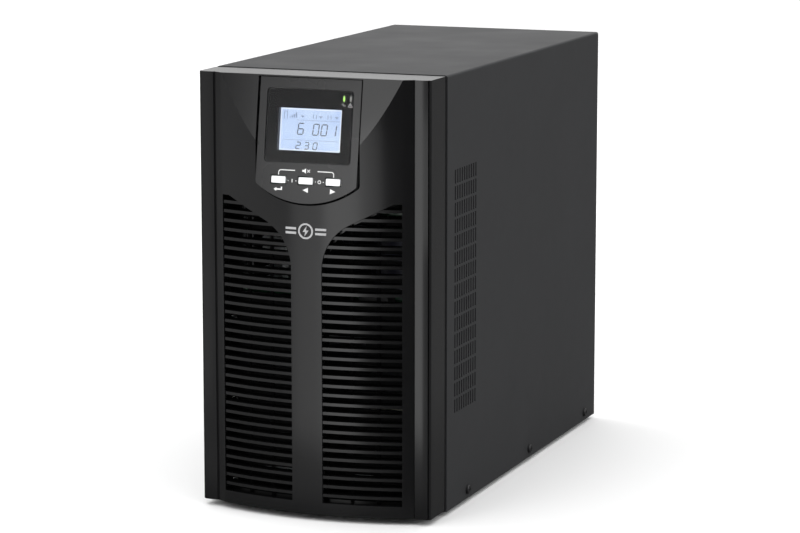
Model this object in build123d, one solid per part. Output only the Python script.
"""Tower uninterruptible power supply: bowed front bezel, sheet-metal case, batteries and power electronics.

Working frame of the functions below: X to the right, Y = 0 at the seam between the bezel and the
cover with the front towards -Y, Z = 0 at the cover's lower edge. save() moves every piece to the
part's own frame, whose origin is the bottom centre of the whole object.
"""
from build123d import *
import math
import os

os.makedirs("parts", exist_ok=True)

# ---------------------------------------------------------------- driving dimensions, millimetres
COVER_WIDTH = 190.0
COVER_HEIGHT = 336.0
COVER_DEPTH = 372.0
COVER_FRONT = 2.6              # its front rim, behind a shadow gap that shows the bulkhead's edge
SHEET = 1.2                    # steel sheet of the case
CASE_GAP = 0.3                 # between nested sheets
FOOT_HEIGHT = 3.5
REAR_REACH = 6.5               # the rear fittings stand this far out of the cover's rear edge

BEZEL_HALF = 94.4
BEZEL_BOTTOM = 1.5
BEZEL_TOP = 335.6
BEZEL_BACK = -0.5
BEZEL_WALL = 2.4
COLUMN = [(92.8, -31.4), (86.4, -32.0), (82.2, -31.85)]        # front of the right-hand column
FLANK_FOOT = (81.4, -31.0)      # the flank runs from here to the bow's end
INNER_COLUMN = [(91.2, -28.8), (86.4, -29.4), (82.6, -29.2)]
INNER_FOOT = (80.6, -28.6)
BOW_HALF = 74.0                # the bowed front spans +-74
BOW_END_Y = -35.3
BOW_PEAK_Y = -46.5
FACET_DROP = 72.4              # the leaning facet meets the bow's crest this far under the top

SLOT_PITCH = 7.1
SLOT_HEIGHT = 4.8
SLOT_COUNT = 33
LOUVRE_SINK = 0.7              # the louvres' faces lie this far behind the bowed wall
LOUVRE_DEPTH = 9.0
RIB_DEPTH = 1.6                 # upright ribs behind the louvres
RIB_SPANS = 3
GRILLE_FIT = 0.25
GRILLE_BOTTOM = 11.0
GRILLE_TOP = 242.5
TIE_HALF = 12.4                # the plain centre strip between the grilles
TIE_ARC = 40.0                 # radius where the strip flares out under the display
FLARE_SLOPE = 0.5

PANEL_HALF = 41.0              # display panel, a shield lying in the leaning facet
PANEL_TOP = 1.5
PANEL_SHOULDER = 81.5
PANEL_TIP = 95.5
PANEL_RECESS = 1.2
PANEL_SKIN = 2.2
PANEL_SIDE = 1.8
PANEL_BACK = -12.0
PANEL_GAP = 1.4

WINDOW = (69.2, 55.2, 37.4)    # width, height, centre below the facet's top edge
LCD_DROP = 40.1                 # centre of the display glass
LCD_GLASS = (57.0, 39.0)
LCD_OPENING = (51.2, 32.4)      # the display frame's opening over the glass
LCD_FRAME = (59.4, 41.4)
LCD_LEVELS = (-9.6, -8.0, -6.2, -3.1)   # board, back of the glass, its face, the frame's front
LED_AT = ((26.9, 15.7), (32.4, 15.7))
BUTTON = (11.4, 5.1)
BUTTON_X = (-22.2, 0.0, 22.2)
BUTTON_DROP = 78.3
BUTTON_GAP = 0.9
BUTTON_TAB = (1.5, 2.4)         # retaining tabs: reach beyond the cap, height
BOARD_TOP = -9.6               # component side of the display board
BOARD_THICK = 1.6

POST_X = 86.0                  # the bezel's locating posts
POST_Z = (25.0, 168.0, 310.0)
POST_R = 2.4
POST_HOLE_R = 2.8

VENT_ROWS = 15
VENT_COLUMNS = 10
VENT_SLOT = (2.4, 10.7)
VENT_PITCH = (5.03, 12.71)
VENT_FIRST = (20.0, 79.4)      # centre of the lowest front slot: back from the seam, up from the edge
SIDE_SCREW_Y = (48.9, 196.3, 343.1)
SIDE_SCREW_Z = 7.2
SIDE_WALL_TOP = 310.0           # the slotted walls meet the cover's hood here

BATTERY = (151.0, 94.0, 65.0)  # sealed lead-acid block lying on its side: along X, Y, Z
BATTERY_Y = (20.0, 121.0, 222.0)
BATTERY_Z = (2.6, 75.0)
TERMINAL_X = 62.0
LEAD_R = 1.8
LEAD_INSET = 3.4                # from a battery's face forward to its leads
CROSS_LINK_X = -48.0            # where the link between the rows rises
SHELF_Z = 148.0
BOARD_Z = 157.6                # underside of the power board
BOARD_X = 88.0
BOARD_Y = (20.0, 320.0)
SINK = (54.0, 76.0, 44.0, 276.0, 80.0)   # heatsink: inner and outer X, Y span, height
INDUCTORS = ((-24.0, 122.0), (24.0, 122.0), (0.0, 172.0))
CAPACITORS = ((-33.0, 42.0), (0.0, 42.0), (33.0, 42.0), (-33.0, 76.0), (0.0, 76.0), (33.0, 76.0))

PANEL_Y = COVER_DEPTH - 0.4    # outer face of the rear panel
SOCKET_Y = -22.0               # open end of the display board's socket
SOCKET_Z = 287.0
FAN_AT = ((-42.5, 286.0), (42.5, 286.0))
FAN_SIZE = 80.0
FAN_DEPTH = 25.0
FAN_BORE = 38.5
OUTLET_AT = ((-61.0, 155.0), (-11.0, 155.0), (-61.0, 105.0), (-11.0, 105.0))
OUTLET_R = 19.5
OUTLET_DEPTH = 17.5
INLET_AT = (58.0, 130.0)
BREAKER_AT = (60.0, 168.0)
GROUND_AT = (58.0, 96.0)
SLOT_COVER = (-26.0, 219.0, 126.0, 42.0)
SERIAL_AT = (64.0, 230.0)
USB_AT = (52.0, 208.0)
EPO_AT = (75.0, 208.0)
PORT_DEPTH = 16.0              # ports reach this far in from the rear panel

# ---------------------------------------------------------------- derived values
HALF = COVER_WIDTH / 2
BOW_SAG = BOW_END_Y - BOW_PEAK_Y
LEAN = math.atan2(BOW_SAG, FACET_DROP)
PANEL = Plane(
    origin=(0, BOW_END_Y, BEZEL_TOP),
    x_dir=(1, 0, 0),
    z_dir=(0, -math.cos(LEAN), math.sin(LEAN)),
)
PANEL_FACE = -PANEL_RECESS
FRONT_Y = BOW_END_Y + PANEL_RECESS * math.cos(LEAN) - PANEL_TIP * math.sin(LEAN)
REAR_Y = COVER_DEPTH + REAR_REACH
INSIDE = HALF - SHEET - CASE_GAP
COMPONENT_Z = BOARD_Z + BOARD_THICK
FAN_FACE = PANEL_Y - SHEET
FAN_INNER = FAN_FACE - FAN_DEPTH
FAN_CORNERS = [(dx, dz) for dx in (-35.75, 35.75) for dz in (-35.75, 35.75)]
SHIFT_Y = -(FRONT_Y + REAR_Y) / 2


# ---------------------------------------------------------------- helpers
def save(name, shape):
    """Writes one node in the part's own frame."""
    export_step(Pos(0, SHIFT_Y, FOOT_HEIGHT) * shape, f"parts/{name}.step")


def group(pieces):
    """Separate solids kept together in one node."""
    return Compound(children=[solid for piece in pieces for solid in piece.solids()])


def block(x0, x1, y0, y1, z0, z1):
    """A box between two corners."""
    centre = Pos((x0 + x1) / 2, (y0 + y1) / 2, (z0 + z1) / 2)
    return centre * Box(x1 - x0, y1 - y0, z1 - z0)


def rod_x(y, z, radius, x0, x1):
    return Pos((x0 + x1) / 2, y, z) * Rot(0, 90, 0) * Cylinder(radius, x1 - x0)


def rod_y(x, z, radius, y0, y1):
    return Pos(x, (y0 + y1) / 2, z) * Rot(90, 0, 0) * Cylinder(radius, y1 - y0)


def rod_z(x, y, radius, z0, z1):
    return Pos(x, y, (z0 + z1) / 2) * Cylinder(radius, z1 - z0)


def ring_y(x, z, outer, inner, y0, y1):
    return rod_y(x, z, outer, y0, y1) - rod_y(x, z, inner, y0 - 1, y1 + 1)


def panel_block(x, drop, width, height, low, high, radius=0.0):
    """A prism in the facet's frame: drop is measured down from its top edge, low and high outwards."""
    outline = RectangleRounded(width, height, radius) if radius else Rectangle(width, height)
    return PANEL * (Pos(x, -drop, low) * extrude(outline, high - low))


def panel_rod(x, drop, radius, low, high):
    return PANEL * (Pos(x, -drop, (low + high) / 2) * Cylinder(radius, high - low))


def mirrored(shape):
    return mirror(shape, Plane.YZ)


def both_sides(shape):
    return shape + mirrored(shape)


def pan_screw_y(x, z, y_face, radius, length, sign=1):
    """A pan-head screw along Y whose head stands on y_face, out towards sign."""
    head = rod_y(x, z, radius, *sorted((y_face, y_face + sign * radius * 0.62)))
    shank = rod_y(x, z, radius * 0.48, *sorted((y_face, y_face - sign * length)))
    rim = head.edges().filter_by(GeomType.CIRCLE).sort_by(Axis.Y)[-1 if sign > 0 else 0]
    head = fillet(rim, radius * 0.28)
    top = y_face + sign * radius * 0.62
    cross = [
        block(x - a, x + a, *sorted((top - sign * 0.9, top + sign)), z - b, z + b)
        for a, b in ((radius * 0.55, 0.35), (0.35, radius * 0.55))
    ]
    return head + shank - cross


# ---------------------------------------------------------------- front bezel
def bezel_face(half, side_end, column, flank_foot, bow_half, bow_end, bow_peak, back):
    """Plan outline of the bezel: side, rounded column, flank and bowed front, mirrored about X = 0."""
    start = (half, back)
    right = [start, (half, side_end)] + column[:1]
    edges = [Line(a, b) for a, b in zip(right, right[1:])]
    edges.append(ThreePointArc(column[0], column[1], column[2]))
    edges.append(Line(column[2], flank_foot))
    edges.append(Line(flank_foot, (bow_half, bow_end)))
    left = [mirror(edge, Plane.YZ) for edge in edges]
    bow = ThreePointArc((bow_half, bow_end), (0, bow_peak), (-bow_half, bow_end))
    rear = Line((-half, back), start)
    return make_face(edges + left + [bow, rear])


def facet_cutter(offset):
    """Everything in front of the leaning facet, moved out by offset."""
    return PANEL * (Pos(0, -40, offset + 30) * Box(260, 260, 60))


def grille_region():
    """Right-hand grille outline in X and Z, from the centre strip's edge to the bow's end."""
    angle = math.atan(FLARE_SLOPE)
    outer = BOW_HALF - 0.6
    flare_x = outer - (BOW_HALF - 68.0)
    corner_z = GRILLE_TOP - FLARE_SLOPE * (flare_x - TIE_HALF)
    tangent = TIE_ARC / math.tan((math.pi / 2 + angle) / 2)
    arc_low = (TIE_HALF, corner_z - tangent)
    arc_high = (TIE_HALF + tangent * math.cos(angle), corner_z + tangent * math.sin(angle))
    middle_turn = math.pi - (math.pi / 2 - angle) / 2
    arc_middle = (
        TIE_HALF + TIE_ARC + TIE_ARC * math.cos(middle_turn),
        arc_low[1] + TIE_ARC * math.sin(middle_turn),
    )
    return make_face([
        Line((TIE_HALF, GRILLE_BOTTOM), arc_low),
        ThreePointArc(arc_low, arc_middle, arc_high),
        Line(arc_high, (flare_x, GRILLE_TOP)),
        Line((flare_x, GRILLE_TOP), (outer, GRILLE_TOP)),
        Line((outer, GRILLE_TOP), (outer, GRILLE_BOTTOM)),
        Line((outer, GRILLE_BOTTOM), (TIE_HALF, GRILLE_BOTTOM)),
    ])


def along_y(face, y0, y1):
    """Prism along Y of a face drawn in X and Z."""
    plane = Plane(origin=(0, y1, 0), x_dir=(1, 0, 0), z_dir=(0, -1, 0))
    return extrude(plane * face, y1 - y0)


def bow_slab(front, back):
    """Slab that follows the bow, from front to back behind its face."""
    reach = BOW_HALF + 10
    radius = (BOW_HALF ** 2 + BOW_SAG ** 2) / (2 * BOW_SAG)
    sides = []
    for depth in (front, back):
        end = radius - depth - math.sqrt((radius - depth) ** 2 - reach ** 2)
        peak = BOW_PEAK_Y + depth
        sides.append(((reach, peak + end), (0, peak), (-reach, peak + end)))
    (a0, a1, a2), (b0, b1, b2) = sides
    outline = make_face([ThreePointArc(a0, a1, a2), Line(a2, b2), ThreePointArc(b2, b1, b0), Line(b0, a0)])
    return extrude(outline, COVER_HEIGHT)


def grille_insert():
    """Right-hand louvre insert: bars that follow the bow, tied by ribs behind them."""
    region = offset(grille_region(), -GRILLE_FIT)
    body = bow_slab(LOUVRE_SINK, LOUVRE_SINK + LOUVRE_DEPTH) & along_y(region, -60, -20)
    open_front = bow_slab(-5, LOUVRE_SINK + LOUVRE_DEPTH - RIB_DEPTH)
    open_through = bow_slab(-5, LOUVRE_SINK + LOUVRE_DEPTH + 5)
    left, right = TIE_HALF + GRILLE_FIT, BOW_HALF - 0.6 - GRILLE_FIT
    rib_x = [left + (right - left) * k / RIB_SPANS for k in range(RIB_SPANS + 1)]
    ribs = [block(x - 1.2, x + 1.2, -60, -20, 0, COVER_HEIGHT) for x in rib_x]
    stripes = []
    for row in range(SLOT_COUNT):
        low = GRILLE_BOTTOM + row * SLOT_PITCH
        stripes.append(block(0, BOW_HALF + 5, -60, -20, low, low + SLOT_HEIGHT))
    slots = Part() + stripes
    front_cut = slots & open_front
    through_cut = (slots & open_through) - ribs
    return body - front_cut - through_cut


def shield(grow, low, high):
    """The display panel's outline, grown all round, as a prism in the facet's frame."""
    half = PANEL_HALF + grow
    top = PANEL_TOP - min(grow, 0.5)
    outline = make_face([
        Line((-half, -top), (half, -top)),
        Line((half, -top), (half, -PANEL_SHOULDER)),
        ThreePointArc((half, -PANEL_SHOULDER), (0, -PANEL_TIP - grow), (-half, -PANEL_SHOULDER)),
        Line((-half, -PANEL_SHOULDER), (-half, -top)),
    ])
    rounded = fillet(outline.vertices().filter_by(lambda v: v.Y < -PANEL_SHOULDER + 1), 2.5 + grow)
    return PANEL * (Pos(0, 0, low) * extrude(rounded, high - low))


def bezel_posts():
    """Bosses on the columns' inner side with the straight pins that locate the bezel."""
    posts = []
    for z in POST_Z:
        posts.append(rod_y(POST_X, z, 4.2, -30.6, -1.0))
        posts.append(rod_y(POST_X, z, POST_R, -1.2, 7.0))
    return posts


def panel_bosses():
    """Bosses behind the facet that the display panel's ears are screwed to."""
    return [panel_rod(x, drop, 2.6, -5.0, -BEZEL_WALL + 0.2) for x in (-45.6, 45.6) for drop in (12.0, 34.0)]


def grille_frame():
    """Ledges behind the wall that the right-hand louvre insert is welded to."""
    region = grille_region()
    seat = bow_slab(LOUVRE_SINK + LOUVRE_DEPTH, LOUVRE_SINK + LOUVRE_DEPTH + 1.6)
    wall = bow_slab(1.0, LOUVRE_SINK + LOUVRE_DEPTH + 1.6)
    outside = offset(region, 2.0)
    collar = wall & along_y(outside, -60, -20)
    collar -= along_y(region, -60, -20)
    ledge = seat & along_y(outside, -60, -20)
    ledge -= along_y(offset(region, -1.2), -60, -20)
    return collar + ledge


def front_bezel():
    height = BEZEL_TOP - BEZEL_BOTTOM
    outer = bezel_face(BEZEL_HALF, -29.2, COLUMN, FLANK_FOOT, BOW_HALF, BOW_END_Y, BOW_PEAK_Y, BEZEL_BACK)
    outer = Pos(0, 0, BEZEL_BOTTOM) * extrude(outer, height) - facet_cutter(0)
    w = BEZEL_WALL
    inner = bezel_face(BEZEL_HALF - w, -26.6, INNER_COLUMN, INNER_FOOT, BOW_HALF - 0.8,
                       BOW_END_Y + w, BOW_PEAK_Y + w, 5.0)
    inner = Pos(0, 0, BEZEL_BOTTOM + w) * extrude(inner, height - 2 * w) - facet_cutter(-w)
    shell = outer - inner
    shell += [piece for post in bezel_posts() for piece in (post, mirrored(post))]
    shell += panel_bosses()
    groove = block(92.4, 93.2, -33, -29.9, 0, 340)
    opening = along_y(grille_region(), -60, -20)
    shell -= [groove, mirrored(groove), opening, mirrored(opening)]
    shell += both_sides(grille_frame())
    shell -= shield(PANEL_GAP, -14, 10)
    return shell


# ---------------------------------------------------------------- display panel and its contents
def leaf(x, drop, low, high, grow=0.0):
    """A pointed oval prism, the light guide's and its window's shape."""
    radius = 4.2
    offset = radius - 0.9 - grow
    lens = (Pos(offset, 0) * Circle(radius)) & (Pos(-offset, 0) * Circle(radius))
    return PANEL * (Pos(x, -drop, low) * extrude(lens, high - low))


def display_panel():
    body = shield(0, PANEL_BACK, PANEL_FACE)
    inner = shield(-PANEL_SIDE, PANEL_BACK - 1, PANEL_FACE - PANEL_SKIN)
    body -= inner
    for x in (-45.0, 45.0):
        for drop in (12.0, 34.0):
            reach = math.copysign(40.6, x)
            body += panel_block((x + reach) / 2 + math.copysign(1.2, x), drop, 7.6, 8.0, -6.6, -5.0)
    for x, drop in board_screw_places():
        body += panel_rod(x, drop, 2.6, BOARD_TOP, PANEL_FACE - PANEL_SKIN + 0.2)
    width, height, drop = WINDOW
    body -= panel_block(0, drop, width + 1.0, height + 1.0, PANEL_FACE - 1.45, 2, 3.4)
    body -= panel_block(0, drop, width - 2.4, height - 3.0, -5, 2, 2.0)
    for x in BUTTON_X:
        wide = BUTTON[0] + 2 * BUTTON_GAP
        tall = BUTTON[1] + 2 * BUTTON_GAP
        body -= panel_block(x, BUTTON_DROP, wide, tall, -5, 2, 0.8)
    for x in (-45.6, 45.6):
        for hole_drop in (12.0, 34.0):
            body -= panel_rod(x, hole_drop, 1.3, -8, -4)
    return body


def board_screw_places():
    return [(x, drop) for x in (-34.0, 34.0) for drop in (6.3, 71.0)]


def display_window():
    width, height, drop = WINDOW
    return panel_block(0, drop, width, height, PANEL_FACE - 1.45, PANEL_FACE - 0.05, 3.0)


def lcd_panel():
    return panel_block(0, LCD_DROP, *LCD_GLASS, LCD_LEVELS[1], LCD_LEVELS[2])


def lcd_backlight():
    """Frame with the backlight under the glass and a lip that stands round its lit area."""
    board, glass_back, glass_face, front = LCD_LEVELS
    body = panel_block(0, LCD_DROP, *LCD_FRAME, board, front, 1.0)
    pocket = panel_block(0, LCD_DROP, LCD_GLASS[0] + 0.2, LCD_GLASS[1] + 0.2, glass_back, glass_face + 0.1)
    return body - pocket - panel_block(0, LCD_DROP, *LCD_OPENING, glass_face, front + 1)


def light_guides():
    """Two clear light guides between the lamps on the board and the window."""
    return group(leaf(x, drop, BOARD_TOP, PANEL_FACE - 1.5, -0.1) for x, drop in LED_AT)


def display_socket():
    """Header on the back of the display board; its mouth faces straight back along Y."""
    body = block(-12, 12, -34, SOCKET_Y, SOCKET_Z - 4, SOCKET_Z + 4)
    body -= block(-10.6, 10.6, SOCKET_Y - 4.5, SOCKET_Y + 1, SOCKET_Z - 2.6, SOCKET_Z + 2.6)
    front = PANEL * (Pos(0, -47, BOARD_TOP - BOARD_THICK + 20) * Box(100, 120, 40))
    return body - front


def display_board():
    board = panel_block(0, 43.0, 75.0, 78.0, BOARD_TOP - BOARD_THICK, BOARD_TOP)
    board -= [panel_rod(x, drop, 1.6, -20, 0) for x, drop in board_screw_places()]
    return board + display_socket()


def display_screws():
    """Four screws hold the board to the panel and four hold the panel's ears to the bezel."""
    screws = []
    for x, drop in board_screw_places():
        head = panel_rod(x, drop, 2.6, BOARD_TOP - BOARD_THICK - 1.6, BOARD_TOP - BOARD_THICK)
        screws.append(head)
    for x in (-45.6, 45.6):
        for drop in (12.0, 34.0):
            head = panel_rod(x, drop, 2.5, -8.2, -6.6)
            screws.append(head + panel_rod(x, drop, 1.2, -6.8, -5.0))
    return group(screws)


def button_switches():
    """The three push switches soldered to the display board."""
    switches = []
    for x in BUTTON_X:
        body = panel_block(x, BUTTON_DROP, 6.0, 6.0, BOARD_TOP, -6.3)
        switches.append(body + panel_rod(x, BUTTON_DROP, 1.7, -6.3, -5.9))
    return group(switches)


def button(x):
    """A cap with a tab at each end that keeps it behind the panel's skin and a stem over its switch."""
    cap = panel_block(x, BUTTON_DROP, BUTTON[0], BUTTON[1], -4.6, PANEL_FACE + 0.6, 0.6)
    rim = cap.faces().sort_by(Axis.Y)[0].edges()
    cap = fillet(rim, 0.35)
    reach, tall = BUTTON_TAB
    tabs = panel_block(x, BUTTON_DROP, BUTTON[0] + 2 * reach, tall, -4.6, -3.8)
    return cap + tabs + panel_rod(x, BUTTON_DROP, 2.0, -5.0, -4.4)


def display_cable():
    """Flat cable with a plug at each end, from the display board's socket to the control board."""
    plug = block(-10.2, 10.2, SOCKET_Y - 4.0, SOCKET_Y + 5, SOCKET_Z - 2.2, SOCKET_Z + 2.2)
    ribbon = block(-8, 8, SOCKET_Y + 5, -1, SOCKET_Z - 0.5, SOCKET_Z + 0.5)
    tail = block(-10.2, 10.2, -1, 4.8, SOCKET_Z - 2.2, SOCKET_Z + 2.2)
    return plug + ribbon + tail


# ---------------------------------------------------------------- sheet-metal case
def wall_face(width, height, holes):
    """A flat wall from (0, 0) to (width, height) with hole wires let into it."""
    outer = Wire.make_polygon([(0, 0), (width, 0), (width, height), (0, height)], close=True)
    return Face(outer, holes)


def rectangle_wire(x, y, width, height):
    corners = [(x - width / 2, y - height / 2), (x + width / 2, y - height / 2),
               (x + width / 2, y + height / 2), (x - width / 2, y + height / 2)]
    return Wire.make_polygon(corners, close=True)


def circle_wire(x, y, radius):
    return Wire.make_circle(radius, Plane((x, y, 0)))


def cover_side():
    """Right-hand side wall of the cover with its vent slots and screw holes."""
    holes = []
    for row in range(VENT_ROWS):
        for column in range(VENT_COLUMNS):
            y = VENT_FIRST[0] + column * VENT_PITCH[0]
            z = VENT_FIRST[1] + row * VENT_PITCH[1]
            holes.append(rectangle_wire(y, z, *VENT_SLOT))
    holes += [circle_wire(y, SIDE_SCREW_Z, 2.2) for y in SIDE_SCREW_Y]
    flat = extrude(wall_face(COVER_DEPTH, SIDE_WALL_TOP, holes), SHEET)
    return Plane(origin=(HALF - SHEET, 0, 0), x_dir=(0, 1, 0), z_dir=(1, 0, 0)) * flat


def cover():
    """Inverted U of powder-coated steel: top and both sides in one bent sheet."""
    hood = block(-HALF, HALF, 0, COVER_DEPTH, SIDE_WALL_TOP, COVER_HEIGHT)
    bends = hood.edges().filter_by(Axis.Y).sort_by(Axis.Z)[-2:]
    hood = fillet(bends, 2.0)
    hood -= block(-HALF + SHEET, HALF - SHEET, -1, COVER_DEPTH + 1, SIDE_WALL_TOP - 1, COVER_HEIGHT - SHEET)
    side = cover_side()
    rim = block(-HALF - 1, HALF + 1, -1, COVER_FRONT, -1, COVER_HEIGHT + 1)
    return hood + side + mirrored(side) - rim


def chassis_tray():
    """Floor, front bulkhead and low side flanges, folded from one sheet."""
    floor = block(-INSIDE, INSIDE, 1.0, PANEL_Y - SHEET - CASE_GAP, 0, SHEET)
    flange = block(INSIDE - SHEET, INSIDE, 1.0, PANEL_Y - SHEET - CASE_GAP, 0, 16)
    front = block(-INSIDE, INSIDE, 1.0, 1.0 + SHEET, 0, COVER_HEIGHT - SHEET - CASE_GAP)
    front -= block(-77.8, 77.8, 0, 4, SHEET, 144)
    front -= block(-14, 14, 0, 4, SOCKET_Z - 5, SOCKET_Z + 5)
    intake = [block(x - 32, x + 32, 0, 4, z, z + 5) for x in (-42, 42) for z in range(160, 262, 11)]
    posts = [rod_y(x, z, POST_HOLE_R, 0, 4) for x in (-POST_X, POST_X) for z in POST_Z]
    flange_holes = [rod_x(y, SIDE_SCREW_Z, 1.6, 85, 96) for y in SIDE_SCREW_Y]
    tray = floor + flange + mirrored(flange) + front
    return tray - intake - posts - flange_holes - [mirrored(hole) for hole in flange_holes]


def rear_panel():
    """Rear wall with the cut-outs for the fans, sockets and ports."""
    half = INSIDE
    top = COVER_HEIGHT - SHEET - CASE_GAP
    bottom = SHEET + CASE_GAP
    panel = block(-half, half, PANEL_Y - SHEET, PANEL_Y, bottom, top)
    y0 = PANEL_Y - 4
    y1 = PANEL_Y + 4
    cuts = [rod_y(x, z, FAN_BORE - 0.5, y0, y1) for x, z in FAN_AT]
    cuts += [rod_y(x + dx, z + dz, 2.2, y0, y1) for x, z in FAN_AT for dx, dz in FAN_CORNERS]
    cuts.append(block(-84.5, 12.5, y0, y1, 81.5, 178.5))
    cuts.append(block(INLET_AT[0] - 16.5, INLET_AT[0] + 16.5, y0, y1, INLET_AT[1] - 12.5, INLET_AT[1] + 12.5))
    cuts.append(rod_y(*BREAKER_AT, 6.2, y0, y1))
    cuts.append(rod_y(*GROUND_AT, 2.2, y0, y1))
    x, z, width, height = SLOT_COVER
    cuts.append(block(x - width / 2 + 8, x + width / 2 - 8, y0, y1, z - height / 2 + 4, z + height / 2 - 4))
    cuts.append(block(SERIAL_AT[0] - 9.6, SERIAL_AT[0] + 9.6, y0, y1, SERIAL_AT[1] - 5.4, SERIAL_AT[1] + 5.4))
    cuts.append(block(USB_AT[0] - 6.3, USB_AT[0] + 6.3, y0, y1, USB_AT[1] - 5.9, USB_AT[1] + 5.9))
    cuts.append(block(EPO_AT[0] - 6.3, EPO_AT[0] + 6.3, y0, y1, EPO_AT[1] - 4.8, EPO_AT[1] + 4.8))
    cuts += [block(x - 1.5, x + 1.5, y0, y1, 24, 58) for x in range(-75, 76, 6)]
    cuts += [rod_y(x, z, 1.65, y0, y1) for x, z in rear_screw_places()]
    cuts += [rod_y(SERIAL_AT[0] + dx, SERIAL_AT[1], 1.5, y0, y1) for dx in (-12.5, 12.5)]
    return panel - cuts


def rear_screw_places():
    edge = INSIDE - 5.5
    return [(x, z) for x in (-edge, edge) for z in (14.0, 188.0, 328.0)]


def corner_brackets():
    """Angle strips inside the case that the rear panel and the cover's sides are screwed to."""
    pieces = []
    for sign in (-1, 1):
        x0, x1 = sorted((sign * INSIDE, sign * (INSIDE - 8)))
        leaf_y = PANEL_Y - SHEET - CASE_GAP
        rear_leaf = block(x0, x1, leaf_y - SHEET, leaf_y, 18, 333)
        s0, s1 = sorted((sign * INSIDE, sign * (INSIDE - SHEET)))
        side_leaf = block(s0, s1, leaf_y - 14, leaf_y, 18, 333)
        pieces.append(rear_leaf + side_leaf)
    return pieces


def side_screws():
    """Black pan-head screws along the cover's lower edges."""
    screws = []
    for y in SIDE_SCREW_Y:
        head = rod_x(y, SIDE_SCREW_Z, 3.6, HALF, HALF + 2.2)
        rim = head.edges().filter_by(GeomType.CIRCLE).sort_by(Axis.X)[-1]
        head = fillet(rim, 0.9)
        shank = rod_x(y, SIDE_SCREW_Z, 1.55, HALF - 2.8, HALF)
        top = HALF + 2.2
        cross = [block(top - 1.1, top + 1, y - a, y + a, SIDE_SCREW_Z - b, SIDE_SCREW_Z + b)
                 for a, b in ((2.0, 0.4), (0.4, 2.0))]
        screws.append(head + shank - cross)
    return group(screws + [mirrored(screw) for screw in screws])


def rubber_feet():
    feet = []
    for x in (-68.0, 68.0):
        for y in (32.0, 332.0):
            pad = rod_z(x, y, 11.0, -FOOT_HEIGHT, 0)
            rim = pad.edges().filter_by(GeomType.CIRCLE).sort_by(Axis.Z)[0]
            feet.append(chamfer(rim, 0.8))
    return group(feet)


# ---------------------------------------------------------------- batteries
def battery(y, z):
    """One sealed battery on its side, terminals to the front."""
    length, depth, height = BATTERY
    case = block(-length / 2, length / 2, y + 3, y + depth, z, z + height)
    lid = block(-length / 2 + 1.0, length / 2 - 1.0, y, y + 3, z + 1.0, z + height - 1.0)
    return case + lid


def terminal_z(z):
    return z + BATTERY[2] - 14.0


def battery_terminals():
    """Blade terminals on the front faces of the batteries."""
    tabs = []
    for z in BATTERY_Z:
        for y in BATTERY_Y:
            for x in (-TERMINAL_X, TERMINAL_X):
                tabs.append(block(x - 3.2, x + 3.2, y - 5.5, y, terminal_z(z) - 0.4, terminal_z(z) + 0.4))
    return group(tabs)


def lead(points, radii):
    """An insulated lead: straight runs joined by arcs."""
    path = FilletPolyline(*points, radius=radii)
    start = Plane(origin=path @ 0, z_dir=path % 0)
    return sweep(start * Circle(LEAD_R), path=path)


def jumper_leads():
    """Links from each battery to the one behind it, and one between the rows at the rear."""
    leads = []
    for z, first in zip(BATTERY_Z, (TERMINAL_X, -TERMINAL_X)):
        run = z + BATTERY[2] + 2.6
        start = terminal_z(z) + 0.4
        for k, x in enumerate((first, -first)):
            y0 = BATTERY_Y[k] - LEAD_INSET
            y1 = BATTERY_Y[k + 1] - LEAD_INSET
            points = [(x, y0, start), (x, y0, run), (x, y1, run), (x, y1, start)]
            leads.append(lead(points, [4.5, 4.5]))
    low, high = (terminal_z(z) for z in BATTERY_Z)
    y = BATTERY_Y[2] - LEAD_INSET
    cross = [(TERMINAL_X, y, low + 0.4), (TERMINAL_X, y, low + 11), (CROSS_LINK_X, y, low + 11),
             (CROSS_LINK_X, y, high - 10), (-TERMINAL_X, y, high - 10), (-TERMINAL_X, y, high - 0.4)]
    leads.append(lead(cross, [6.0, 6.0, 5.0, 4.0]))
    return group(leads)


def battery_tray():
    """Sheet tray that carries both rows and slides out of the front of the chassis."""
    x = BATTERY[0] / 2 + 0.6
    low = SHEET + 0.1
    floor = block(-x - 1, x + 1, 12, 318, low, low + 1.2)
    side = block(x, x + 1, 12, 318, low, 140)
    lip = block(-x - 1, x + 1, 11, 12, low, 22)
    windows = [block(x - 2, x + 3, y, y + 60, 20, 120) for y in (36, 137, 238)]
    return floor + both_sides(side - windows) + lip


def battery_divider():
    """Insulating plate between the two rows of batteries."""
    low = BATTERY_Z[0] + BATTERY[2]
    high = BATTERY_Z[1]
    plate = block(-75.5, 75.5, 14, 316, high - 1.2, high)
    ribs = [block(x - 2, x + 2, 14, 316, low, high) for x in (-30.0, 30.0)]
    y = BATTERY_Y[2] - LEAD_INSET
    return plate + ribs - block(CROSS_LINK_X - 3, CROSS_LINK_X + 3, y - 3, y + 3, low, high + 1)


def battery_door():
    """Screwed plate that closes the battery bay behind the bezel."""
    plate = block(-83, 83, 1.0 - SHEET - 0.1, 0.9, 0.4, 146.5)
    grip = block(-30, 30, -2, 2, 124, 132)
    slots = [block(x, x + 50, -2, 2, z, z + 4) for x in (-62, 12) for z in range(20, 110, 14)]
    holes = [rod_y(x, z, 1.7, -2, 3) for x in (-80.4, 80.4) for z in (10.0, 75.0, 140.0)]
    return plate - grip - slots - holes


def door_screws():
    y_face = 1.0 - SHEET - 0.1
    return group(pan_screw_y(x, z, y_face, 2.6, 1.0, -1) for x in (-80.4, 80.4) for z in (10.0, 75.0, 140.0))


def battery_plug():
    """Two-pole connector between the battery string and the power board."""
    return block(22, 46, 5.0, BOARD_Y[0], 151, 166)


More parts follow.
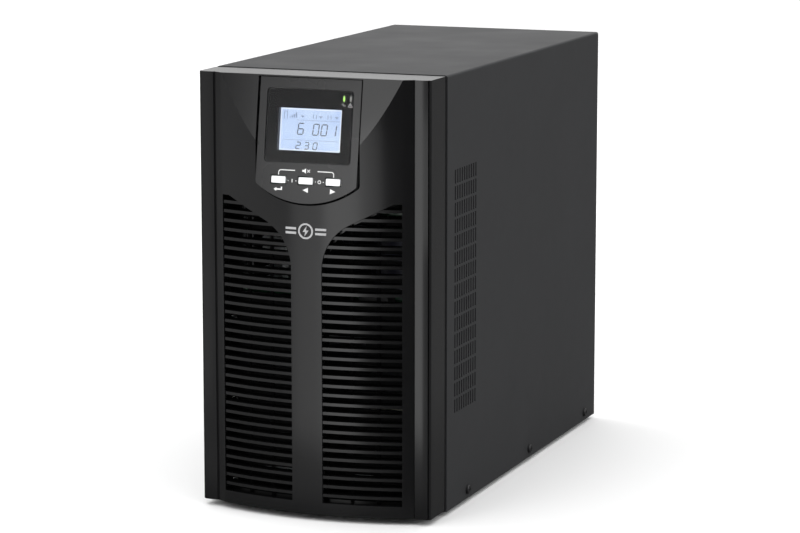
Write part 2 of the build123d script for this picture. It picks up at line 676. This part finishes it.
def battery_cables():
    """Positive and negative leads from the front terminals up to the two-pole connector."""
    low, high = (terminal_z(z) for z in BATTERY_Z)
    y = BATTERY_Y[0] - LEAD_INSET
    rise = [(TERMINAL_X, y, high + 0.4), (TERMINAL_X, y, 141), (39, 12, 141), (39, 12, 151)]
    positive = lead(rise, [5.0, 6.0])
    negative = lead([(-TERMINAL_X, y, low + 0.4), (-TERMINAL_X, y, 65), (-TERMINAL_X, 7, 74),
                     (-TERMINAL_X, 7, 143), (29, 7, 143), (29, 7, 151)], [4.0, 5.0, 12.0, 4.0])
    return positive, negative


# ---------------------------------------------------------------- power electronics
def shelf():
    """Sheet bridge over the batteries that carries the power board."""
    outer = 92.0
    plate = block(-outer, outer, 19, 330, SHELF_Z, SHELF_Z + SHEET)
    wall = block(outer - SHEET, outer, 19, 330, SHEET, SHELF_Z)
    windows = [block(outer - 4, outer + 4, y, y + 70, 30, 125) for y in (34, 138, 242)]
    return plate + both_sides(wall - windows)


def board_places():
    return [(x, y) for x in (-80.0, 80.0) for y in (28.0, 170.0, 312.0)]


def standoffs():
    """Hexagonal pillars under the power board and round spacers behind the bulkhead."""
    low = SHELF_Z + SHEET
    hexagon = RegularPolygon(3.4, 6)
    pillars = [Pos(x, y, low) * extrude(hexagon, BOARD_Z - low) for x, y in board_places()]
    spacers = [rod_y(x, z, 2.8, 1.0 + SHEET, 9.0) for x in (-57, 57) for z in (272, 321)]
    port_pillars = [rod_y(x, 219, 2.2, PANEL_Y - PORT_DEPTH, PANEL_Y - SHEET) for x in (46, 80)]
    return group(pillars + spacers + port_pillars)


def board_screws():
    top = BOARD_Z + BOARD_THICK
    screws = []
    for x, y in board_places():
        screws.append(rod_z(x, y, 3.0, top, top + 2.0) + rod_z(x, y, 1.5, top - BOARD_THICK, top))
    return group(screws)


def power_board():
    board = block(-BOARD_X, BOARD_X, *BOARD_Y, BOARD_Z, BOARD_Z + BOARD_THICK)
    return board - [rod_z(x, y, 1.7, BOARD_Z - 1, BOARD_Z + 4) for x, y in board_places()]


def heatsink():
    """Extruded aluminium heatsink of the right-hand side, fins outwards."""
    inner, outer, y0, y1, height = SINK
    spine = block(inner, inner + 5, y0, y1, COMPONENT_Z, COMPONENT_Z + height)
    fins = [block(inner + 4, outer, y0, y1, z, z + 1.8)
            for z in (COMPONENT_Z + 4 + 8.2 * step for step in range(10))]
    return spine + fins


def power_transistors():
    """Switching transistors clamped to the inner faces of the heatsinks."""
    parts = []
    for y in range(64, 270, 34):
        body = block(SINK[0] - 5.0, SINK[0], y - 8, y + 8, COMPONENT_Z + 12, COMPONENT_Z + 33)
        face = SINK[0]
        legs = [block(face - 3.0, face - 2.4, leg - 0.6, leg + 0.6, COMPONENT_Z, COMPONENT_Z + 12.5)
                for leg in (y - 5.4, y, y + 5.4)]
        parts.append(body + legs)
    return group(parts + [mirrored(part) for part in parts])


def inductor_coils():
    """Copper windings of the toroidal boost inductors, bedded on their boards' feet."""
    coils = []
    for x, y in INDUCTORS:
        coils.append(Pos(x, y, COMPONENT_Z + 13.5) * Torus(14.6, 7.0))
    return group(coils)


def inductor_bases():
    """Moulded plates that hold the inductors clear of the board."""
    bases = []
    for x, y in INDUCTORS:
        plate = rod_z(x, y, 22.0, COMPONENT_Z, COMPONENT_Z + 6.4)
        bases.append(plate + rod_z(x, y, 5.6, COMPONENT_Z, COMPONENT_Z + 19))
    return [base - inductor_coils() for base in bases]


def filter_capacitors():
    """Bulk electrolytic capacitors with pressed rims and vented tops."""
    cans = []
    for x, y in CAPACITORS:
        can = rod_z(x, y, 15.0, COMPONENT_Z, COMPONENT_Z + 50)
        rims = can.edges().filter_by(GeomType.CIRCLE)
        can = fillet(rims, 1.2)
        top = COMPONENT_Z + 50
        vents = [block(x - a, x + a, y - b, y + b, top - 0.5, top + 1) for a, b in ((9, 0.5), (0.5, 9))]
        groove = rod_z(x, y, 16, COMPONENT_Z + 4, COMPONENT_Z + 5.5)
        groove -= rod_z(x, y, 14.3, COMPONENT_Z, COMPONENT_Z + 8)
        cans.append(can - vents - groove)
    return group(cans)


def transformer_core():
    """Ferrite E-core pair standing on the board."""
    core = block(-26, 26, 214, 236, COMPONENT_Z + 4, COMPONENT_Z + 48)
    windows = [block(x0, x1, 210, 240, COMPONENT_Z + 11, COMPONENT_Z + 41) for x0, x1 in ((-19, -8), (8, 19))]
    return core - windows


def transformer_winding():
    """Bobbin and winding round the core's middle leg."""
    coil = block(-18.6, 18.6, 206, 244, COMPONENT_Z + 11.4, COMPONENT_Z + 40.6)
    coil = fillet(coil.edges().filter_by(Axis.Z), 4)
    coil -= block(-8.2, 8.2, 213.8, 236.2, COMPONENT_Z, COMPONENT_Z + 60)
    feet = [block(-18, 18, y, y + 5, COMPONENT_Z, COMPONENT_Z + 12) for y in (206, 239)]
    return coil + feet


def relays():
    cases = []
    for x in (-36.0, -12.0, 12.0, 36.0):
        case = block(x - 10, x + 10, 262, 292, COMPONENT_Z, COMPONENT_Z + 25)
        cases.append(fillet(case.edges().filter_by(Axis.Z), 1.0))
    return group(cases)


def control_board():
    """Logic board standing behind the front bulkhead."""
    board = block(-62, 62, 9.0, 10.6, 226, 326)
    header = block(-13, 13, 3.6, 9.0, SOCKET_Z - 3.6, SOCKET_Z + 3.6)
    header -= block(-10.6, 10.6, 2, 5.0, SOCKET_Z - 2.6, SOCKET_Z + 2.6)
    chip = block(-9, 9, 10.6, 12.2, 262, 280)
    return board + header + chip


# ---------------------------------------------------------------- fans
def fan_frame(x, z):
    """Square fan housing with struts and the bearing sleeve on its inner side."""
    half = FAN_SIZE / 2
    body = block(x - half, x + half, FAN_INNER, FAN_FACE, z - half, z + half)
    body = fillet(body.edges().filter_by(Axis.Y), 3.5)
    body -= rod_y(x, z, FAN_BORE, FAN_INNER - 1, FAN_FACE + 1)
    waist = ring_y(x, z, 70, 41.5, FAN_INNER + 4, FAN_FACE - 4)
    body -= waist
    body -= [rod_y(x + dx, z + dz, 2.15, FAN_INNER - 1, FAN_FACE + 1) for dx, dz in FAN_CORNERS]
    struts = block(x - half + 1.5, x + half - 1.5, FAN_INNER, FAN_INNER + 3, z - 1.6, z + 1.6)
    struts += block(x - 1.6, x + 1.6, FAN_INNER, FAN_INNER + 3, z - half + 1.5, z + half - 1.5)
    plate = rod_y(x, z, 17.5, FAN_INNER, FAN_INNER + 3)
    sleeve = rod_y(x, z, 4.0, FAN_INNER + 2, FAN_INNER + 15)
    bore = rod_y(x, z, 1.56, FAN_INNER + 4, FAN_INNER + 16)
    return body + struts + plate + sleeve - bore


def fan_impeller(x, z):
    """Hub cup with its shaft and seven pitched blades."""
    low = FAN_INNER + 5
    high = FAN_FACE - 2.5
    hub = rod_y(x, z, 18, low, high) - rod_y(x, z, 16.2, low - 1, high - 2.5)
    shaft = rod_y(x, z, 1.5, low + 0.5, high - 1)
    trim = Rot(90, 0, 0) * (Cylinder(37.2, 40) - Cylinder(17.0, 42))
    blade = Pos(27.0, 0, 0) * Rot(32, 0, 0) * Box(24, 21, 1.5) & trim
    middle = (low + high) / 2
    fan = hub + shaft
    for k in range(7):
        fan += Pos(x, middle, z) * Rot(0, 360 / 7 * k, 0) * blade
    return fan


def fan_guards():
    """Wire finger guards: rings joined by crossed spokes with an eye at each corner."""
    guards = []
    wire = 1.0
    for x, z in FAN_AT:
        ring_plane = Pos(x, PANEL_Y + 3.0, z) * Rot(90, 0, 0)
        rings = [ring_plane * Torus(radius, wire) for radius in (8, 15, 22, 29, 36)]
        spokes = []
        for turn in (45, 135):
            bar = Pos(x, PANEL_Y + 1.4, z) * Rot(0, turn, 0) * Rot(0, 90, 0) * Cylinder(wire, 94)
            spokes.append(bar)
        guard = spokes[0] + spokes[1]
        for ring in rings:
            guard += ring
        for dx, dz in FAN_CORNERS:
            eye = ring_y(x + dx, z + dz, 4.2, 2.2, PANEL_Y, PANEL_Y + 2.4)
            guard = guard - rod_y(x + dx, z + dz, 2.2, PANEL_Y - 1, PANEL_Y + 5) + eye
        guards.append(guard)
    return group(guards)


def fan_screws():
    places = [(x + dx, z + dz) for x, z in FAN_AT for dx, dz in FAN_CORNERS]
    return group(pan_screw_y(x, z, PANEL_Y + 2.4, 4.0, 14.0) for x, z in places)


# ---------------------------------------------------------------- rear connectors
def outlet_block():
    """Four round earthed outlets in one moulded block."""
    face = block(-88, 16, PANEL_Y, PANEL_Y + 3.0, 78, 182)
    face = fillet(face.edges().filter_by(Axis.Y), 4)
    body = block(-84, 12, PANEL_Y - 30, PANEL_Y, 82, 178)
    shape = face + body
    depth = PANEL_Y + 3.0 - OUTLET_DEPTH
    for x, z in OUTLET_AT:
        shape -= rod_y(x, z, OUTLET_R, depth, PANEL_Y + 5)
        shape -= [rod_y(x + dx, z, 2.6, depth - 10, depth + 1) for dx in (-9.5, 9.5)]
        for s in (-1, 1):
            low, high = sorted((z + s * 15, z + s * 22))
            shape -= block(x - 2.6, x + 2.6, depth - 2, PANEL_Y + 1, low, high)
    return shape


def outlet_contacts():
    """Sprung earth clips at the top and bottom of each outlet."""
    depth = PANEL_Y + 3.0 - OUTLET_DEPTH
    clips = []
    for x, z in OUTLET_AT:
        for s in (-1, 1):
            low, high = sorted((z + s * 17.6, z + s * 18.6))
            clip = block(x - 2.2, x + 2.2, depth + 0.2, PANEL_Y - 1, low, high)
            low, high = sorted((z + s * 18.4, z + s * 21.8))
            clips.append(clip + block(x - 2.2, x + 2.2, depth + 0.2, depth + 1.4, low, high))
    return group(clips)


def power_inlet():
    """Sixteen-ampere appliance inlet: flange, shroud and floor."""
    x, z = INLET_AT
    flange = block(x - 25, x + 25, PANEL_Y, PANEL_Y + 3.2, z - 14.5, z + 14.5)
    flange = fillet(flange.edges().filter_by(Axis.Y), 5)
    shape = flange + block(x - 16.2, x + 16.2, PANEL_Y - 26, PANEL_Y, z - 12.2, z + 12.2)
    shape -= block(x - 14.2, x + 14.2, PANEL_Y - 20, PANEL_Y + 5, z - 10.2, z + 10.2)
    shape -= [rod_y(x + dx, z, 1.8, PANEL_Y - 2, PANEL_Y + 5) for dx in (-20, 20)]
    return shape


def inlet_pins():
    x, z = INLET_AT
    places = [(x + dx, z + dz) for dx, dz in ((-6.5, -3.5), (6.5, -3.5), (0, 4.0))]
    return group(block(px - 4, px + 4, PANEL_Y - 20, PANEL_Y - 2, pz - 1, pz + 1) for px, pz in places)


def breaker_body():
    """Push-to-reset thermal breaker with its threaded collar and nut."""
    x, z = BREAKER_AT
    body = block(x - 9, x + 9, PANEL_Y - 32, PANEL_Y - SHEET - 0.2, z - 14, z + 14)
    collar = rod_y(x, z, 5.8, PANEL_Y - 4, PANEL_Y + 4.4)
    nut = Pos(x, PANEL_Y, z) * Rot(-90, 0, 0) * extrude(RegularPolygon(9.0, 6), 3.0)
    bore = rod_y(x, z, 4.0, PANEL_Y - 12, PANEL_Y + 6)
    return body + collar + nut - bore


def breaker_button():
    x, z = BREAKER_AT
    shape = rod_y(x, z, 3.6, PANEL_Y - 8, REAR_Y)
    rim = shape.edges().filter_by(GeomType.CIRCLE).sort_by(Axis.Y)[-1]
    return fillet(rim, 0.5)


def serial_port():
    """Nine-way D connector: flange, D-shaped shell and insert."""
    x, z = SERIAL_AT
    back = PANEL_Y - PORT_DEPTH
    flange = block(x - 15.5, x + 15.5, PANEL_Y, PANEL_Y + 0.9, z - 6.25, z + 6.25)
    half_top, half_low, tall = 8.6, 7.4, 4.2
    corners = [(-half_top, tall), (half_top, tall), (half_low, -tall), (-half_low, -tall)]
    d_face = Pos(x, z) * make_face(Polyline(*corners, close=True))
    shell = along_y(d_face, back, PANEL_Y + 5.5)
    core = along_y(offset(d_face, -0.7), PANEL_Y, PANEL_Y + 7)
    holes = [rod_y(x + dx, z, 1.5, PANEL_Y - 1, PANEL_Y + 2) for dx in (-12.5, 12.5)]
    return flange + shell - core - holes + serial_insert()


def serial_insert():
    """Insulator of the D connector with nine sockets."""
    x, z = SERIAL_AT
    insert = block(x - 6.4, x + 6.4, PANEL_Y, PANEL_Y + 4.8, z - 2.9, z + 2.9)
    sockets = [(x + 2.74 * (k - 2), z + 1.4) for k in range(5)]
    sockets += [(x + 2.74 * (k - 1.5), z - 1.4) for k in range(4)]
    return insert - [rod_y(px, pz, 0.55, PANEL_Y + 1, PANEL_Y + 6) for px, pz in sockets]


def jack_screws():
    x, z = SERIAL_AT
    posts = []
    for dx in (-12.5, 12.5):
        post = Pos(x + dx, PANEL_Y + 0.9, z) * Rot(-90, 0, 0) * extrude(RegularPolygon(2.7, 6), 4.6)
        post += rod_y(x + dx, z, 1.4, PANEL_Y - 4, PANEL_Y + 1)
        posts.append(post - rod_y(x + dx, z, 1.3, PANEL_Y + 2, PANEL_Y + 8))
    return group(posts)


def usb_port():
    """Square USB type-B socket in its metal shell."""
    x, z = USB_AT
    shell = block(x - 6.0, x + 6.0, PANEL_Y - PORT_DEPTH, PANEL_Y + 1.0, z - 5.6, z + 5.6)
    mouth = block(x - 4.3, x + 4.3, PANEL_Y - 9, PANEL_Y + 2, z - 4.0, z + 4.0)
    tongue = block(x - 2.9, x + 2.9, PANEL_Y - 9, PANEL_Y - 1, z - 1.5, z + 1.5)
    return shell - mouth + tongue


def epo_terminal():
    """Two-way pluggable terminal for the emergency power-off loop."""
    x, z = EPO_AT
    shape = block(x - 6.0, x + 6.0, PANEL_Y - PORT_DEPTH, PANEL_Y + 4.5, z - 4.5, z + 4.5)
    for way in (x - 2.7, x + 2.7):
        shape -= block(way - 1.6, way + 1.6, PANEL_Y - 1, PANEL_Y + 6, z - 3.0, z + 0.4)
        shape -= rod_y(way, z + 2.6, 1.2, PANEL_Y + 3, PANEL_Y + 6)
    return shape


def port_board():
    """Small upright board that carries the three signal ports."""
    back = PANEL_Y - PORT_DEPTH
    return block(42, 84, back - BOARD_THICK, back, 197, 240)


def slot_cover():
    """Blanking plate over the expansion-card slot."""
    x, z, width, height = SLOT_COVER
    plate = block(x - width / 2, x + width / 2, PANEL_Y, PANEL_Y + 1.2, z - height / 2, z + height / 2)
    rim = plate.edges().filter_by(Axis.Y)
    holes = [rod_y(x + s * (width / 2 - 4), z, 1.7, PANEL_Y - 1, PANEL_Y + 3) for s in (-1, 1)]
    return fillet(rim, 2.0) - holes


def slot_screws():
    x, z, width, _ = SLOT_COVER
    return group(pan_screw_y(x + s * (width / 2 - 4), z, PANEL_Y + 1.2, 3.4, 1.2) for s in (-1, 1))


def ground_stud():
    """Earthing screw with its washer."""
    x, z = GROUND_AT
    washer = ring_y(x, z, 5.0, 2.1, PANEL_Y, PANEL_Y + 1.0)
    screw = pan_screw_y(x, z, PANEL_Y + 1.0, 4.0, 10.0)
    return group([washer, screw])


def rear_screws():
    return group(pan_screw_y(x, z, PANEL_Y, 3.2, 1.2) for x, z in rear_screw_places())


# ---------------------------------------------------------------- write the nodes
save("front_bezel", front_bezel())
insert = grille_insert()
save("front_grille", group([insert, mirrored(insert)]))
save("display_panel", display_panel())
save("display_window", display_window())
save("lcd_panel", lcd_panel())
save("lcd_backlight", lcd_backlight())
save("light_guides", light_guides())
save("display_board", display_board())
save("button_switches", button_switches())
for name, x in zip(("button_enter", "button_left", "button_right"), BUTTON_X):
    save(name, button(x))
save("display_cable", display_cable())

save("cover", cover())
save("chassis_tray", chassis_tray())
save("rear_panel", rear_panel())
save("corner_brackets", group(corner_brackets()))
save("side_screws", side_screws())
save("rubber_feet", rubber_feet())

for row, z in zip(("lower", "upper"), BATTERY_Z):
    for place, y in zip(("front", "middle", "rear"), BATTERY_Y):
        save(f"battery_{row}_{place}", battery(y, z))
save("battery_terminals", battery_terminals())
save("battery_tray", battery_tray())
save("battery_divider", battery_divider())
save("battery_door", battery_door())
save("battery_plug", battery_plug())
positive_lead, negative_lead = battery_cables()
save("battery_lead_positive", positive_lead)
save("battery_leads", group([jumper_leads(), negative_lead]))

save("shelf", shelf())
save("standoffs", standoffs())
save("power_board", power_board())
sink = heatsink()
save("heatsinks", group([sink, mirrored(sink)]))
save("power_transistors", power_transistors())
save("inductor_coils", inductor_coils())
save("inductor_bases", group(inductor_bases()))
save("filter_capacitors", filter_capacitors())
save("transformer_core", transformer_core())
save("transformer_winding", transformer_winding())
save("relays", relays())
save("control_board", control_board())
save("inner_screws", group([display_screws(), door_screws(), board_screws()]))

for side, place in zip(("left", "right"), FAN_AT):
    save(f"fan_impeller_{side}", fan_impeller(*place))
save("fan_frames", group(fan_frame(*place) for place in FAN_AT))
save("fan_guards", fan_guards())

save("outlet_block", outlet_block())
save("power_inlet", power_inlet())
save("socket_contacts", group([outlet_contacts(), inlet_pins()]))
save("breaker_body", breaker_body())
save("breaker_button", breaker_button())
save("serial_port", serial_port())
save("usb_port", usb_port())
save("port_board", port_board())
save("epo_terminal", epo_terminal())
save("slot_cover", slot_cover())
save("rear_screws", group([rear_screws(), slot_screws(), jack_screws(), fan_screws(), ground_stud()]))
